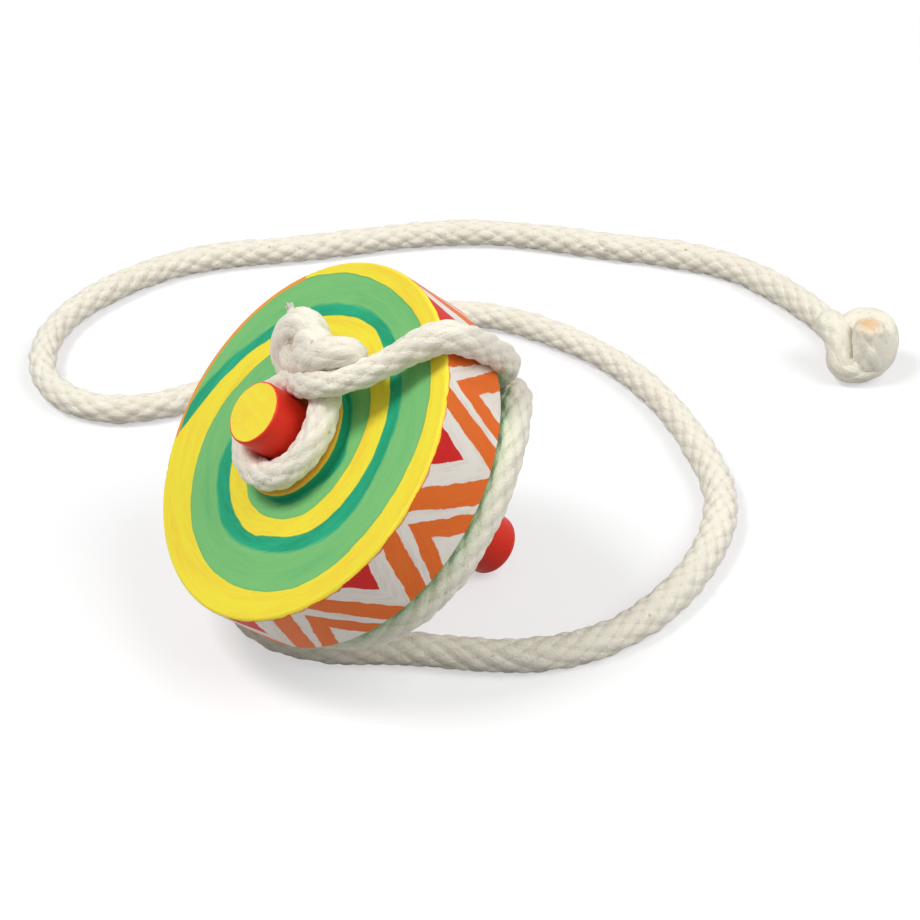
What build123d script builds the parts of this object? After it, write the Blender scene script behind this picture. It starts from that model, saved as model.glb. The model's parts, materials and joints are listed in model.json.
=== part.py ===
"""A wooden throw top lying on its side, with its braided cotton cord still wound on it.

Frame: millimetres, +Z up, the floor at z = 0.  The origin is the centre of the footprint of the
top itself (disc and spindle), so the cord's long tail lies mostly towards +Y and +X.  The top
leans on three things: the rounded end of its foot, and its rim on the cord that runs under it.
"""
import os
from math import asin, atan2, cos, degrees, hypot, pi, radians, sin, sqrt, tan

from build123d import *

# ---- the wooden top ------------------------------------------------------------------------
disc_radius = 35.0
disc_thickness = 15.0
disc_edge_round = 0.6
hub_radius = 12.0
hub_height = 2.0
hub_edge_round = 0.5
dowel_radius = 6.0
stem_length = 12.0          # the dowel above the disc's face
stem_edge_round = 0.4
foot_length = 40.5          # the dowel below the disc's underside
foot_edge_round = 1.5

# ---- the cord ------------------------------------------------------------------------------
cord_diameter = 6.0
cord_clearance = 0.3        # air between the cord and the turning top
rim_gap = 0.5               # air between the rim and the cord that it leans on
coil_pitch = 6.4            # from one turn to the next
coil_turns = 2
coil_start_angle = 144.4    # where the cord first touches the foot, seen from the face
hump_width = 14.0           # the ridge where the turns pass over the cord's first stretch
knot_main_radius = 5.2
knot_side_radius = 4.5
end_knot_radius = 7.2
cord_radius = cord_diameter / 2

# ---- how the top lies ----------------------------------------------------------------------
heading = 207.67            # the way the stem points, counter-clockwise from +X
rim_height = cord_diameter + rim_gap
foot_edge_drop = foot_length - foot_edge_round + disc_edge_round
foot_edge_side = disc_radius - disc_edge_round - dowel_radius + foot_edge_round
lean = degrees(
    atan2(foot_edge_side, foot_edge_drop)
    + asin((rim_height - foot_edge_round + disc_edge_round) / hypot(foot_edge_side, foot_edge_drop))
)
stem_way = Vector(
    cos(radians(lean)) * cos(radians(heading)),
    cos(radians(lean)) * sin(radians(heading)),
    sin(radians(lean)),
)


def reach(way, ring):
    """How far a rounded ring about the spindle reaches along a direction, from the face's centre."""
    along, radius, edge_round = ring
    lie = stem_way.dot(way)
    return lie * along + (radius - edge_round) * sqrt(1 - lie * lie) + edge_round


outer_rings = [
    (-disc_edge_round, disc_radius, disc_edge_round),
    (disc_edge_round - disc_thickness, disc_radius, disc_edge_round),
    (stem_length - stem_edge_round, dowel_radius, stem_edge_round),
    (foot_edge_round - disc_thickness - foot_length, dowel_radius, foot_edge_round),
]


def middle(way):
    """The place of the face's centre along a direction that puts the top's middle at zero."""
    ahead = max(reach(way, ring) for ring in outer_rings)
    behind = max(reach(-way, ring) for ring in outer_rings)
    return (behind - ahead) / 2


face_height = max(reach(Vector(0, 0, -1), ring) for ring in outer_rings)
across = Vector(0, 0, 1).cross(stem_way).normalized()
face_plane = Plane(
    origin=(middle(Vector(1, 0, 0)), middle(Vector(0, 1, 0)), face_height),
    x_dir=across,
    z_dir=stem_way,
)
spin_axis = Axis(face_plane.origin, face_plane.z_dir)
underside_plane = face_plane.offset(-disc_thickness)

# ---- the cord's route ----------------------------------------------------------------------
# From the noose's knot to the winding: (right, up, out) from the centre of the disc's face.
head_route = [
    (1.0, 13.0, 5.2),
    (4.5, 11.0, 5.4),
    (7.8, 8.2, 5.4),
    (10.7, 4.6, 5.4),
    (11.6, 0.2, 5.4),
    (9.9, -4.8, 5.4),
    (6.0, -8.3, 5.4),
    (0.8, -10.1, 5.4),
    (-4.6, -9.1, 5.4),
    (-8.7, -5.4, 5.5),
    (-10.3, -0.4, 5.7),
    (-9.3, 4.3, 6.4),
    (-6.0, 8.0, 7.9),
    (-1.4, 10.0, 10.0),
    (3.4, 10.1, 11.9),
    (8.2, 12.4, 11.9),
    (11.8, 17.2, 9.0),
    (13.6, 22.8, 5.8),
    (16.4, 29.4, 5.3),
    (19.4, 34.1, 1.4),
    (17.0, 34.8, -7.2),
    (15.2, 36.0, -15.8),
    (12.5, 33.7, -19.4),
    (8.3, 27.7, -18.6),
    (5.2, 23.3, -18.5),
]
# The loose last turn on the underside: (angle, radius, out), counter-clockwise from the right.
loose_turn = [
    (144.4, 22.1, -18.4),
    (171.0, 24.6, -18.4),
    (200.0, 25.8, -18.4),
    (230.0, 27.0, -18.4),
    (259.0, 28.0, -18.4),
    (287.0, 29.4, -18.4),
    (314.0, 32.2, -18.4),
    (341.0, 34.8, -18.4),
    (8.0, 36.4, -18.4),
    (32.0, 36.4, -18.5),
    (50.0, 36.2, -20.2),
    (62.0, 35.0, -24.6),
    (74.0, 31.4, -26.0),
    (88.0, 27.8, -25.2),
    (106.0, 27.6, -20.8),
    (132.0, 28.9, -18.4),
    (161.0, 31.0, -18.4),
    (187.0, 33.0, -18.4),
    (213.0, 35.0, -18.4),
    (235.0, 36.4, -18.4),
    (251.0, 36.7, -18.4),
]
# Along the floor, seen from above: (x, y).
floor_route = [
    (-18.0, -5.2),
    (-13.2, -10.7),
    (-6.2, -13.8),
    (1.8, -14.6),
    (10.6, -13.7),
    (19.8, -15.2),
    (29.6, -17.0),
    (38.6, -16.2),
    (47.0, -12.9),
    (55.2, -7.4),
    (63.2, 1.2),
    (69.6, 12.0),
    (74.0, 24.6),
    (75.2, 37.4),
    (72.8, 50.2),
    (68.8, 63.4),
    (62.8, 75.6),
    (55.2, 86.0),
    (45.8, 94.6),
    (35.6, 101.6),
    (26.2, 104.8),
    (17.0, 103.8),
    (7.2, 98.6),
    (-5.0, 89.2),
    (-19.0, 79.0),
    (-31.6, 71.8),
    (-40.8, 66.8),
    (-50.2, 65.2),
    (-59.6, 68.8),
    (-66.4, 76.6),
    (-69.0, 87.2),
    (-67.6, 98.6),
    (-62.6, 109.0),
    (-54.4, 118.2),
    (-43.8, 126.2),
    (-31.0, 129.8),
    (-17.6, 130.4),
    (-4.4, 133.0),
    (10.2, 137.2),
    (26.4, 139.8),
    (42.0, 138.6),
    (56.2, 134.8),
    (70.4, 131.4),
    (83.4, 126.0),
    (92.8, 117.6),
    (100.2, 107.4),
    (104.8, 97.4),
]
tail_end = (107.0, 90.6, 4.4)
end_knot_centre = (108.3, 83.9, end_knot_radius)
knot_main_centre = (-8.6, 15.3, 6.6)
knot_side_centre = (1.3, 17.8, 5.8)


def on_disc(place):
    """A place given from the centre of the disc's face, in the part's own frame."""
    return face_plane.from_local_coords(place)


def around_disc(turn_place):
    """A place given by its angle, radius and height about the spindle, in the part's own frame."""
    angle, radius, out = turn_place
    return on_disc((radius * cos(radians(angle)), radius * sin(radians(angle)), out))


def bend_radii(points):
    """The largest arc that each corner of a route has room for."""
    radii = []
    for before, corner, after in zip(points, points[1:], points[2:]):
        run_in = Vector(*corner) - Vector(*before)
        run_out = Vector(*after) - Vector(*corner)
        half_turn = radians(run_in.get_angle(run_out)) / 2
        radii.append(0.45 * min(run_in.length, run_out.length) / tan(half_turn))
    return radii


def cord_tube(points, label):
    """A round tube of the cord's own thickness along straight runs joined by tangent arcs."""
    radii = bend_radii(points)
    with BuildPart() as tube:
        with BuildLine() as path:
            FilletPolyline(*points, radius=radii)
        with BuildSketch(Plane(origin=path.wires()[0] @ 0, z_dir=path.wires()[0] % 0)):
            Circle(cord_radius)
        sweep(path=path.wires()[0])
    length = path.wires()[0].length
    tube.part.label = label
    print(label, "length", round(length, 1), "smallest radius", round(min(radii), 1))
    print("  radii", [round(radius, 1) for radius in radii])
    print("  volume over section x length", round(tube.part.volume / (pi * cord_radius**2 * length), 4))
    return tube


# ---- the disc: a thick flywheel with a low turned hub on its face -----------------------------
with BuildPart() as disc:
    with BuildSketch(underside_plane):
        Circle(disc_radius)
        Circle(dowel_radius, mode=Mode.SUBTRACT)
    extrude(amount=disc_thickness)
    rim_edges = disc.edges().filter_by(GeomType.CIRCLE).group_by(SortBy.RADIUS)[-1]
    fillet(rim_edges, radius=disc_edge_round)
    with BuildSketch(face_plane):
        Circle(hub_radius)
        Circle(dowel_radius, mode=Mode.SUBTRACT)
    extrude(amount=hub_height)
    hub_face = disc.faces().sort_by(spin_axis)[-1]
    fillet(hub_face.outer_wire().edges(), radius=hub_edge_round)
disc.part.label = "disc"

# ---- the spindle: one dowel through the disc, its stem above and its foot below ---------------
with BuildPart() as spindle:
    with BuildSketch(underside_plane.offset(-foot_length)):
        Circle(dowel_radius)
    extrude(amount=foot_length + disc_thickness + stem_length)
    fillet(spindle.faces().sort_by(spin_axis)[0].edges(), radius=foot_edge_round)
    fillet(spindle.faces().sort_by(spin_axis)[-1].edges(), radius=stem_edge_round)
spindle.part.label = "spindle"

# ---- the cord's knot beside the stem: a big lobe and a small one --------------------------------
knot_start = on_disc(knot_main_centre)
knot_way = on_disc(knot_side_centre) - knot_start
knot_plane = Plane(origin=knot_start, x_dir=knot_way, z_dir=knot_way.cross(stem_way))
knot_reach = 2 * (knot_way.length + knot_main_radius + knot_side_radius)
with BuildPart() as noose_knot:
    with BuildSketch(knot_plane):
        Circle(knot_main_radius)
        with Locations((knot_way.length / 2, 0), (knot_way.length, 0)):
            Circle(knot_side_radius)
        Rectangle(knot_reach, knot_reach, align=(Align.CENTER, Align.MIN), mode=Mode.INTERSECT)
    revolve(axis=Axis(knot_start, knot_way))
noose_knot.part.label = "noose_knot"

# ---- the cord's head: round the stem, over the face and the rim, and under the disc -------------
cord_head = cord_tube([on_disc(place) for place in head_route], "cord_head")

# ---- the tight inner turns of the winding, as one solid of their outer shape --------------------
coil_bore = dowel_radius + cord_clearance
coil_start_radius = coil_bore + cord_radius
coil_plane = underside_plane.offset(-cord_clearance)


def coil_edge(quarters):
    """A point of the winding's outer edge, so many quarter turns into its last turn."""
    radius = coil_start_radius + cord_radius + coil_pitch * (coil_turns - 1 + quarters / 4)
    angle = radians(coil_start_angle + 90 * quarters)
    return (radius * cos(angle), radius * sin(angle))


coil_outer_radius = hypot(*coil_edge(4))
first_stretch = Vector(*head_route[-2][:2]) - Vector(*head_route[-1][:2])
hump_angle = degrees(atan2(first_stretch.Y, first_stretch.X))
with BuildPart() as cord_coil:
    with BuildSketch(coil_plane) as coil_outline:
        with BuildLine():
            for quarter in range(4):
                ThreePointArc(coil_edge(quarter), coil_edge(quarter + 0.5), coil_edge(quarter + 1))
            Line(coil_edge(4), coil_edge(0))
        make_face()
        Circle(coil_bore, mode=Mode.SUBTRACT)
    extrude(amount=-cord_diameter)
    with BuildSketch(coil_plane.offset(-cord_diameter)):
        touch = (
            coil_start_radius * cos(radians(coil_start_angle)),
            coil_start_radius * sin(radians(coil_start_angle)),
        )
        with Locations(Location((*touch, 0), (0, 0, hump_angle))):
            Rectangle(2 * coil_outer_radius, hump_width)
        add(coil_outline.sketch_local, mode=Mode.INTERSECT)
    extrude(amount=-cord_diameter)
cord_coil.part.label = "cord_coil"

# ---- the cord's tail: the loose last turn, under the rim, and along the floor --------------------
tail_route = [around_disc(place) for place in loose_turn]
tail_route += [(x, y, cord_radius) for x, y in floor_route] + [tail_end]
cord_tail = cord_tube(tail_route, "cord_tail")

# ---- the stopper knot at the cord's far end --------------------------------------------------------
with BuildPart() as end_knot:
    with Locations(end_knot_centre):
        Sphere(end_knot_radius)
end_knot.part.label = "end_knot"

os.makedirs("parts", exist_ok=True)
export_step(disc.part, "parts/disc.step")
export_step(spindle.part, "parts/spindle.step")
export_step(noose_knot.part, "parts/noose_knot.step")
export_step(cord_head.part, "parts/cord_head.step")
export_step(cord_coil.part, "parts/cord_coil.step")
export_step(cord_tail.part, "parts/cord_tail.step")
export_step(end_knot.part, "parts/end_knot.step")

print("lean", round(lean, 3), "face centre", face_plane.origin, "stem way", stem_way)
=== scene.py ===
"""The looks of a wooden throw top lying on its wound cotton cord.

Everything is in metres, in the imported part's own frame: +Z up, the floor at z = 0.  A place on the
top is given from the centre of the disc's face as (right, up, out), out being the way the stem
points.  Shader values that say where paint goes are in millimetres and degrees.
"""
import json
import logging
import math
from dataclasses import dataclass
from enum import Enum
from typing import Any, Callable, Optional, Sequence, Union

import bpy
import numpy as np
from mathutils import Matrix, Vector


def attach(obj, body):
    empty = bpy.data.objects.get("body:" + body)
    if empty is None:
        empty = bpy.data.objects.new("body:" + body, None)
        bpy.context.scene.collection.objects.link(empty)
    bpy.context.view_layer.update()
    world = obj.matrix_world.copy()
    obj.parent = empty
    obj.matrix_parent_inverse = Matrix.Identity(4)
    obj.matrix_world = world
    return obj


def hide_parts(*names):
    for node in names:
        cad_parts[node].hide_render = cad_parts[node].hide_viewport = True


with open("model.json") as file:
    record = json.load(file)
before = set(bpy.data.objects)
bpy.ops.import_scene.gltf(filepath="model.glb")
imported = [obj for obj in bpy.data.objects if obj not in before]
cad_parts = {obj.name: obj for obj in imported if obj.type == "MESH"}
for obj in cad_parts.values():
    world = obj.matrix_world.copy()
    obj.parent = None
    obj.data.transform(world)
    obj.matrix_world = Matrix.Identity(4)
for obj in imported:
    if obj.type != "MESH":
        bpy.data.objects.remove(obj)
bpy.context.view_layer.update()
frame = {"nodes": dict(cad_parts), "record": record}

log = logging.getLogger("throw_top")
MM = 0.001
Point = tuple[float, float, float]
Shading = dict[str, "Wire"]


# ---- where the top lies -------------------------------------------------------------------------
@dataclass(frozen=True)
class TopAxes:
    """The top's own axes, from the centre of the disc's face."""

    centre: Vector
    right: Vector
    up: Vector
    out: Vector

    @classmethod
    def from_joint(cls, joint: dict) -> "TopAxes":
        """Reads the axes from the joint that the top spins on.

        Args:
            joint: the record's hinge, whose place is the centre of the disc's face.

        Returns:
            The axes, with right level and up towards the highest point of the rim.
        """
        out = Vector(joint["axis"]).normalized()
        right = Vector((0.0, 0.0, 1.0)).cross(out).normalized()
        return cls(Vector(joint["pos_m"]), right, out.cross(right), out)

    def place(self, spot: Point) -> Vector:
        """A spot given as (right, up, out), in the part's frame."""
        return self.centre + self.right * spot[0] + self.up * spot[1] + self.out * spot[2]

    def around(self, angle: float, radius: float, out: float) -> Vector:
        """A spot given by its angle in degrees, radius and height about the spindle."""
        turn = math.radians(angle)
        return self.place((radius * math.cos(turn), radius * math.sin(turn), out))


@dataclass(frozen=True)
class TopShape:
    """The room that the top takes up, so that soft cord can lie against it."""

    disc_radius: float = 0.035
    disc_depth: float = 0.015
    hub_radius: float = 0.012
    hub_height: float = 0.002
    dowel_radius: float = 0.006
    stem_height: float = 0.012
    foot_depth: float = 0.0405
    gap: float = 0.00005

    def press_out(self, points: np.ndarray, axes: TopAxes) -> np.ndarray:
        """Moves points that lie in the wood or the floor to the nearest surface.

        Args:
            points: points in the part's frame.
            axes: how the top lies.

        Returns:
            The moved points.
        """
        turn = np.array([axes.right, axes.up, axes.out])
        local = (points - np.array(axes.centre)) @ turn.T
        radius = np.hypot(local[:, 0], local[:, 1])
        height = local[:, 2]
        wide, tall = radius.copy(), height.copy()

        def drum(outer: float, low: float, high: float, open_low: bool, open_high: bool) -> None:
            """Clears one round part, through its wall or through an end that isn't covered."""
            inside = (radius < outer) & (height > low) & (height < high)
            to_wall = outer - radius
            to_low = height - low if open_low else np.full_like(height, 1.0)
            to_high = high - height if open_high else np.full_like(height, 1.0)
            by_wall = inside & (to_wall <= to_low) & (to_wall <= to_high)
            by_low = inside & ~by_wall & (to_low < to_high)
            by_high = inside & ~by_wall & ~by_low
            wide[by_wall] = outer + self.gap
            tall[by_low] = low - self.gap
            tall[by_high] = high + self.gap

        drum(self.disc_radius, -self.disc_depth, 0.0, True, True)
        drum(self.hub_radius, 0.0, self.hub_height, False, True)
        drum(self.dowel_radius, self.hub_height, self.stem_height, False, True)
        drum(self.dowel_radius, -self.foot_depth, -self.disc_depth, True, False)
        share = wide / np.maximum(radius, 1e-9)
        local = np.stack([local[:, 0] * share, local[:, 1] * share, tall], axis=1)
        cleared = local @ turn + np.array(axes.centre)
        cleared[:, 2] = np.maximum(cleared[:, 2], self.gap)
        return cleared


# ---- shader nodes ---------------------------------------------------------------------------------
class Paint(Enum):
    """The colours on the top and the cord, as they look in plain light; COTTON_SHADE and the hub
    top's darkened yellow are painted shade.
    """

    YELLOW = "F4E340"
    LEAF = "82C57C"
    TEAL = "28AE82"
    DEEP_TEAL = "1B8F68"
    GRASS = "4FA65A"
    ORANGE = "E8762C"
    AMBER = "EE9A3C"
    # yellow paint darkened towards ochre as painted shade, for the hub's top under the cord
    SHADED_YELLOW = "E4B43C"
    WHITE = "EFE9E0"
    SMEARED_WHITE = "D8BFB0"
    RED = "D22323"
    SCARLET = "E6351E"
    COTTON = "FBF4E3"
    # painted shade for the hollows between floats, also used for darker random patches
    COTTON_SHADE = "D3C5AB"
    FLECK = "8C7B62"
    SINGED = "F0C48C"
    FLOOR = "B4B4B4"

    @property
    def linear(self) -> tuple[float, float, float, float]:
        """The colour as linear red, green and blue, with a full alpha."""
        parts = [int(self.value[i:i + 2], 16) / 255 for i in (0, 2, 4)]
        light = [p / 12.92 if p <= 0.04045 else ((p + 0.055) / 1.055) ** 2.4 for p in parts]
        return (light[0], light[1], light[2], 1.0)


class Wire:
    """A value that flows between shader nodes, with the arithmetic that math nodes do."""

    def __init__(self, graph: "Graph", socket: bpy.types.NodeSocket) -> None:
        self.graph = graph
        self.socket = socket

    def math(self, operation: str, *others: Union["Wire", float], clamp: bool = False) -> "Wire":
        """One math node.

        Args:
            operation: the node's operation.
            others: its further inputs, as wires or plain numbers.
            clamp: whether the result is held between 0 and 1.

        Returns:
            The node's value.
        """
        node = self.graph.node("Math", {"operation": operation, "use_clamp": clamp})
        for socket, value in zip(node.inputs, (self, *others)):
            self.graph.feed(socket, value)
        return Wire(self.graph, node.outputs[0])

    def __add__(self, other: Union["Wire", float]) -> "Wire":
        """The sum."""
        return self.math("ADD", other)

    def __sub__(self, other: Union["Wire", float]) -> "Wire":
        """The difference."""
        return self.math("SUBTRACT", other)

    def __mul__(self, other: Union["Wire", float]) -> "Wire":
        """The product."""
        return self.math("MULTIPLY", other)

    def __neg__(self) -> "Wire":
        """The value with its sign changed."""
        return self.math("MULTIPLY", -1.0)

    def least(self, other: Union["Wire", float]) -> "Wire":
        """The smaller of two values."""
        return self.math("MINIMUM", other)

    def most(self, other: Union["Wire", float]) -> "Wire":
        """The larger of two values."""
        return self.math("MAXIMUM", other)

    def ramp(self, low: float, high: float) -> "Wire":
        """0 below low, 1 above high and straight between them."""
        return (self - low).math("MULTIPLY", 1.0 / (high - low), clamp=True)


class Graph:
    """One shader tree, and short ways to add nodes to it."""

    def __init__(self, tree: bpy.types.NodeTree) -> None:
        self.tree = tree

    def node(self, kind: str, settings: Optional[dict] = None, **inputs: Any) -> bpy.types.Node:
        """Adds one node.

        Args:
            kind: the node's type, without ShaderNode.
            settings: properties to set on it.
            inputs: wires or values for its inputs, with _ for a space in a name.

        Returns:
            The node.
        """
        node = self.tree.nodes.new("ShaderNode" + kind)
        for name, value in (settings or {}).items():
            setattr(node, name, value)
        for name, value in inputs.items():
            self.feed(node.inputs[name.replace("_", " ")], value)
        return node

    def feed(self, socket: bpy.types.NodeSocket, value: Any) -> None:
        """Links a wire to a socket, or sets the socket to a plain value."""
        if isinstance(value, Wire):
            self.tree.links.new(value.socket, socket)
        elif isinstance(value, Paint):
            socket.default_value = value.linear
        else:
            socket.default_value = value

    def wire(self, node: bpy.types.Node, output: Union[int, str] = 0) -> Wire:
        """One of a node's outputs."""
        return Wire(self, node.outputs[output])

    def vector(self, x: Union[Wire, float], y: Union[Wire, float], z: Union[Wire, float]) -> Wire:
        """Three values as one vector."""
        return self.wire(self.node("CombineXYZ", X=x, Y=y, Z=z))

    def noise(self, vector: Wire, scale: float, detail: float = 2.0, rough: float = 0.5) -> Wire:
        """Smooth noise about zero, mostly between -0.3 and 0.3."""
        node = self.node("TexNoise", Vector=vector, Scale=scale, Detail=detail, Roughness=rough)
        return self.wire(node, "Fac") - 0.5

    def mix(self, factor: Union[Wire, float], low: Any, high: Any) -> Wire:
        """A colour between two colours."""
        node = self.node("Mix", {"data_type": "RGBA", "clamp_factor": True})
        for index, value in ((0, factor), (6, low), (7, high)):
            self.feed(node.inputs[index], value)
        return self.wire(node, 2)

    def curve(self, value: Wire, points: Sequence[tuple[float, float]]) -> Wire:
        """A smooth curve through points whose both values are between 0 and 1."""
        node = self.node("FloatCurve", Value=value)
        line = node.mapping.curves[0]
        line.points[0].location = points[0]
        line.points[1].location = points[-1]
        for spot in points[1:-1]:
            line.points.new(*spot)
        node.mapping.update()
        return self.wire(node)

    def use(self, group: bpy.types.NodeTree, **inputs: Any) -> bpy.types.Node:
        """Places a node group, with its inputs."""
        return self.node("Group", {"node_tree": group}, **inputs)


def new_group(name: str, inputs: dict[str, str], outputs: dict[str, str]) -> tuple[Graph, Any, Any]:
    """Makes an empty shader node group.

    Args:
        name: the group's name.
        inputs: the kind of each input socket, by name.
        outputs: the kind of each output socket, by name.

    Returns:
        The group's graph, its input node and its output node.
    """
    tree = bpy.data.node_groups.new(name, "ShaderNodeTree")
    for in_out, sockets in (("INPUT", inputs), ("OUTPUT", outputs)):
        for socket, kind in sockets.items():
            tree.interface.new_socket(socket, in_out=in_out, socket_type="NodeSocket" + kind)
    source = tree.nodes.new("NodeGroupInput")
    sink = tree.nodes.new("NodeGroupOutput")
    return Graph(tree), source, sink


@dataclass(frozen=True)
class HandEdge:
    """How far an edge painted by hand wanders and how softly it ends, in millimetres."""

    wobble: float
    softness: float


class EffectGroups:
    """The shader node groups that more than one finish uses, each built once.

    The painted edge's scales are per millimetre, and the cotton weave's are per metre.
    """

    drift_scale: float = 0.3        # an edge's slow wander
    waver_scale: float = 1.5        # and the small one on it
    waver_share: float = 0.28
    stroke_slant: float = 0.15
    bristle_scale: float = 2.6
    bristle_tone: float = 0.7
    pool_scale: float = 0.5         # where the paint is thicker
    pool_relief: float = 0.6
    fluff_scale: float = 2600.0
    patch_scale: float = 160.0
    fleck_scale: float = 700.0
    fleck_range: tuple[float, float] = (0.33, 0.39)
    fleck_strength: float = 0.45
    hollow_loft: float = 0.44       # yarn lower than this lies in a hollow, which gets painted shade
    hollow_depth: float = 0.42

    def __init__(self, axes: TopAxes) -> None:
        self.axes = axes
        self.turned_place = self._turned_place()
        self.painted_edge = self._painted_edge()
        self.brush_strokes = self._brush_strokes()
        self.cotton_weave = self._cotton_weave()

    def whereabouts(self, graph: Graph) -> Shading:
        """Where the shaded point lies about the spindle, by the name of each measure."""
        turned = graph.use(self.turned_place)
        return {name: graph.wire(turned, name) for name in ("Angle", "Radius", "Height", "Place")}

    def mask(self, graph: Graph, at: Shading, distance: Wire, edge: HandEdge) -> Wire:
        """Marks an area painted by hand.

        Args:
            graph: the material's graph.
            at: where the shaded point lies.
            distance: how deep it lies in the area, in millimetres.
            edge: how the area's edge looks.

        Returns:
            1 inside the area and 0 outside it.
        """
        return graph.wire(graph.use(
            self.painted_edge, Distance=distance, Place=at["Place"],
            Wobble=edge.wobble, Softness=edge.softness,
        ))

    def strokes(self, graph: Graph, along: Wire, across: Wire) -> tuple[Wire, Wire]:
        """The tone and the relief that brush strokes leave."""
        node = graph.use(self.brush_strokes, Along=along, Across=across)
        return graph.wire(node, "Tone"), graph.wire(node, "Relief")

    def _turned_place(self) -> bpy.types.NodeTree:
        """Where a point lies about the spindle, in degrees and millimetres."""
        outputs = {"Angle": "Float", "Radius": "Float", "Height": "Float", "Place": "Vector"}
        graph, _, sink = new_group("turned_place", {}, outputs)
        own = graph.wire(graph.node("TexCoord"), "Object")
        turn = Matrix((self.axes.right, self.axes.up, self.axes.out)).transposed().to_euler()
        mapping = graph.node("Mapping", {"vector_type": "TEXTURE"}, Vector=own)
        mapping.inputs["Location"].default_value = self.axes.centre
        mapping.inputs["Rotation"].default_value = turn
        mapping.inputs["Scale"].default_value = (MM, MM, MM)
        place = graph.wire(mapping)
        split = graph.node("SeparateXYZ", Vector=place)
        x, y, height = (graph.wire(split, i) for i in range(3))
        angle = y.math("ARCTAN2", x).math("DEGREES")
        radius = (x * x + y * y).math("SQRT")
        for name, value in zip(outputs, (angle, radius, height, place)):
            graph.feed(sink.inputs[name], value)
        return graph.tree

    def _painted_edge(self) -> bpy.types.NodeTree:
        """The edge of an area painted by hand: it wanders a little and is almost sharp."""
        inputs = {"Distance": "Float", "Place": "Vector", "Wobble": "Float", "Softness": "Float"}
        graph, source, sink = new_group("painted_edge", inputs, {"Mask": "Float"})
        place = graph.wire(source, "Place")
        drift = graph.noise(place, self.drift_scale, 1.0)
        wander = drift + graph.noise(place, self.waver_scale, 2.0) * self.waver_share
        moved = graph.wire(source, "Distance") + wander * graph.wire(source, "Wobble")
        ratio = moved.math("DIVIDE", graph.wire(source, "Softness"))
        graph.feed(sink.inputs["Mask"], ratio.math("ADD", 0.5, clamp=True))
        return graph.tree

    def _brush_strokes(self) -> bpy.types.NodeTree:
        """The streaks that a small brush leaves in thick paint."""
        inputs = {"Along": "Vector", "Across": "Float"}
        outputs = {"Tone": "Float", "Relief": "Float"}
        graph, source, sink = new_group("brush_strokes", inputs, outputs)
        along = graph.node("SeparateXYZ", Vector=graph.wire(source, "Along"))
        across = graph.wire(source, "Across")
        slanted = graph.wire(along, 0) + across * self.stroke_slant
        place = graph.vector(slanted, graph.wire(along, 1), across)
        bristles = graph.noise(place, self.bristle_scale, 3.0, 0.6)
        pools = graph.noise(place, self.pool_scale, 2.0)
        graph.feed(sink.inputs["Tone"], bristles * self.bristle_tone + pools)
        graph.feed(sink.inputs["Relief"], bristles + pools * self.pool_relief)
        return graph.tree

    def _cotton_weave(self) -> bpy.types.NodeTree:
        """Soft cotton yarn: fine hairs along it, painted shade in the hollows between floats and
        dark flecks.
        """
        inputs = {"Yarn": "Vector", "Loft": "Float"}
        outputs = {"Color": "Color", "Relief": "Float"}
        graph, source, sink = new_group("cotton_weave", inputs, outputs)
        own = graph.wire(graph.node("TexCoord"), "Object")
        yarn = graph.wire(source, "Yarn")
        loft = graph.wire(source, "Loft")
        hairs = graph.noise(yarn, 1.0, 3.0, 0.65)
        fluff = graph.noise(own, self.fluff_scale, 3.0, 0.7)
        patches = graph.noise(own, self.patch_scale, 2.0)
        # painted shade: the cotton darkens in the hollows between floats, where the yarn lies low;
        # the shade below adds random patches and hairs
        hollow = -loft + self.hollow_loft + fluff * 0.3 + hairs * 0.25
        hollow = hollow.ramp(0.0, self.hollow_depth)
        shade = (hollow * 0.52 + patches * 0.45 + hairs * 0.3).ramp(0.0, 1.0)
        color = graph.mix(shade, Paint.COTTON, Paint.COTTON_SHADE)
        flecks = graph.noise(own, self.fleck_scale, 0.0).ramp(*self.fleck_range)
        color = graph.mix(flecks * self.fleck_strength, color, Paint.FLECK)
        graph.feed(sink.inputs["Color"], color)
        graph.feed(sink.inputs["Relief"], hairs * 0.9 + fluff * 0.7)
        return graph.tree


def new_material(name: str) -> tuple[bpy.types.Material, Graph, bpy.types.Node]:
    """An empty node material.

    Args:
        name: the material's name.

    Returns:
        The material, its graph and its Principled shader.
    """
    material = bpy.data.materials.new(name)
    material.use_nodes = True
    shader = material.node_tree.nodes["Principled BSDF"]
    return material, Graph(material.node_tree), shader


def coat(graph: Graph, shader: bpy.types.Node, colour: Wire, height: Wire, relief: float,
         **values: Any) -> None:
    """Joins a finish to its shader.

    Args:
        graph: the material's graph.
        shader: its Principled shader.
        colour: the finish's colour.
        height: its relief, from 0 to about 1.
        relief: how high a relief of 1 stands, in metres.
        values: the shader's plain values, with _ for a space in a name.
    """
    bump = graph.node("Bump", Height=height, Distance=relief, Strength=1.0)
    surface = {"Base_Color": colour, "Normal": graph.wire(bump), **values}
    for name, value in surface.items():
        graph.feed(shader.inputs[name.replace("_", " ")], value)


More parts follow.
